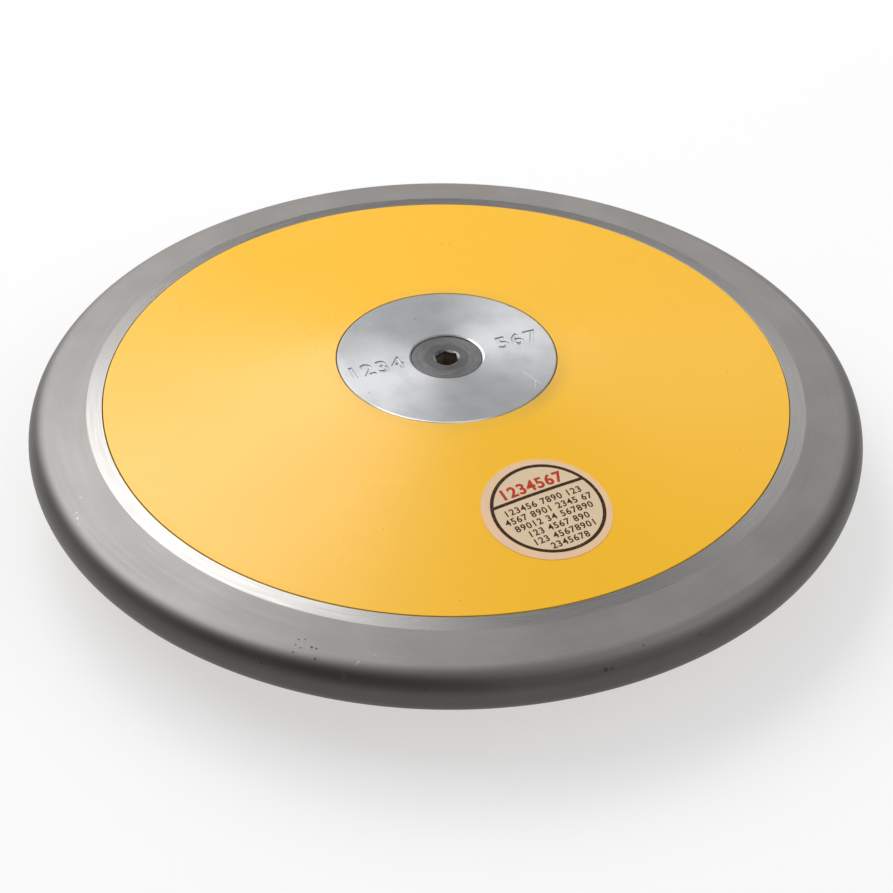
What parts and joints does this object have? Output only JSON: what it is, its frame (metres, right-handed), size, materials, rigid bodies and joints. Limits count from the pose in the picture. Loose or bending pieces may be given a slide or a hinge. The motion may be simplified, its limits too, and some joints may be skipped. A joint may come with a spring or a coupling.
{
  "type": "discus",
  "caption": "Throwing discus with a turned steel rim, yellow moulded side plates and flush metal centre plates screwed to a core.",
  "frame": {"origin": "centre of the discus: on its axis, in the middle plane of the rim", "axes": "+Z along the axis of the discus, out of its upper face; +X to the right and +Y to the back as pictured"},
  "size_m": [0.201, 0.201, 0.0384],
  "materials": {
    "rim_steel": "turned bare steel, satin, lightly marked",
    "side_plate_plastic": "semi-gloss moulded plastic, warm yellow",
    "centre_plate_aluminium": "face turned, fine rings",
    "screw_black_steel": "black oxide, satin",
    "core_aluminium": "as turned",
    "washer_steel": "plain punched steel",
    "label_paper": "cream printed label, satin film"
  },
  "bodies": {
    "root": {"rim": "rim_steel", "core": "core_aluminium", "upper_side_plate": "side_plate_plastic", "upper_centre_plate": "centre_plate_aluminium", "upper_centre_screw": "screw_black_steel", "lower_side_plate": "side_plate_plastic", "lower_centre_plate": "centre_plate_aluminium", "lower_centre_screw": "screw_black_steel", "upper_trim_washer_1": "washer_steel", "upper_trim_washer_2": "washer_steel", "upper_trim_washer_3": "washer_steel", "lower_trim_washer_1": "washer_steel", "lower_trim_washer_2": "washer_steel", "lower_trim_washer_3": "washer_steel"}
  },
  "joints": []
}
